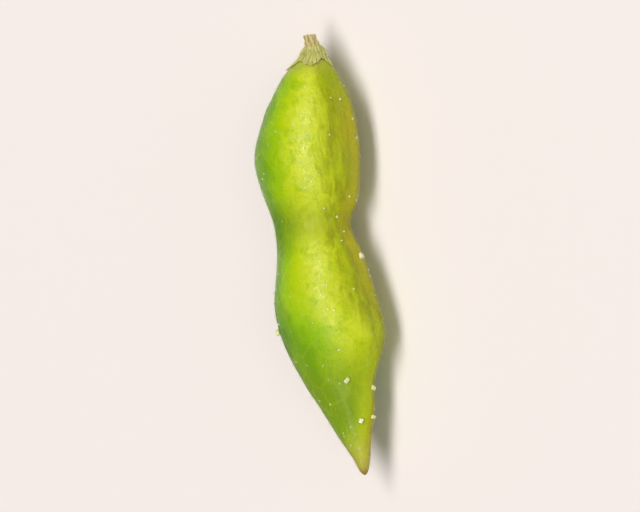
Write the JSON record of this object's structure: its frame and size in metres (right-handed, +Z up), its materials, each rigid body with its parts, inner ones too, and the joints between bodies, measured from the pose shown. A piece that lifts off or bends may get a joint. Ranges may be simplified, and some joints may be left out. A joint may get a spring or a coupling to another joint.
{
  "type": "edamame pod",
  "caption": "Boiled and salted green soybean pod, bowed and waisted between its beans, with a withered calyx, a cut stub of stalk and a pointed beak, lying on a broad face.",
  "frame": {"origin": "on the surface the pod rests on, under the middle of its bounding box", "axes": "+Y along the pod from its beak to its stalk end, +X from the outer (convex) seam to the inner (hollow) seam, +Z up out of the upper broad face"},
  "size_m": [0.0156, 0.0544, 0.0096],
  "materials": {
    "pod_skin": "satin",
    "dry_calyx": "matte",
    "dry_stalk": "matte",
    "salt": "gloss"
  },
  "bodies": {
    "root": {"pod": "pod_skin", "calyx": "dry_calyx", "stalk": "dry_stalk", "salt_grain_1": "salt", "salt_grain_2": "salt", "salt_grain_3": "salt", "salt_grain_4": "salt", "salt_grain_5": "salt", "salt_grain_6": "salt"}
  },
  "joints": []
}
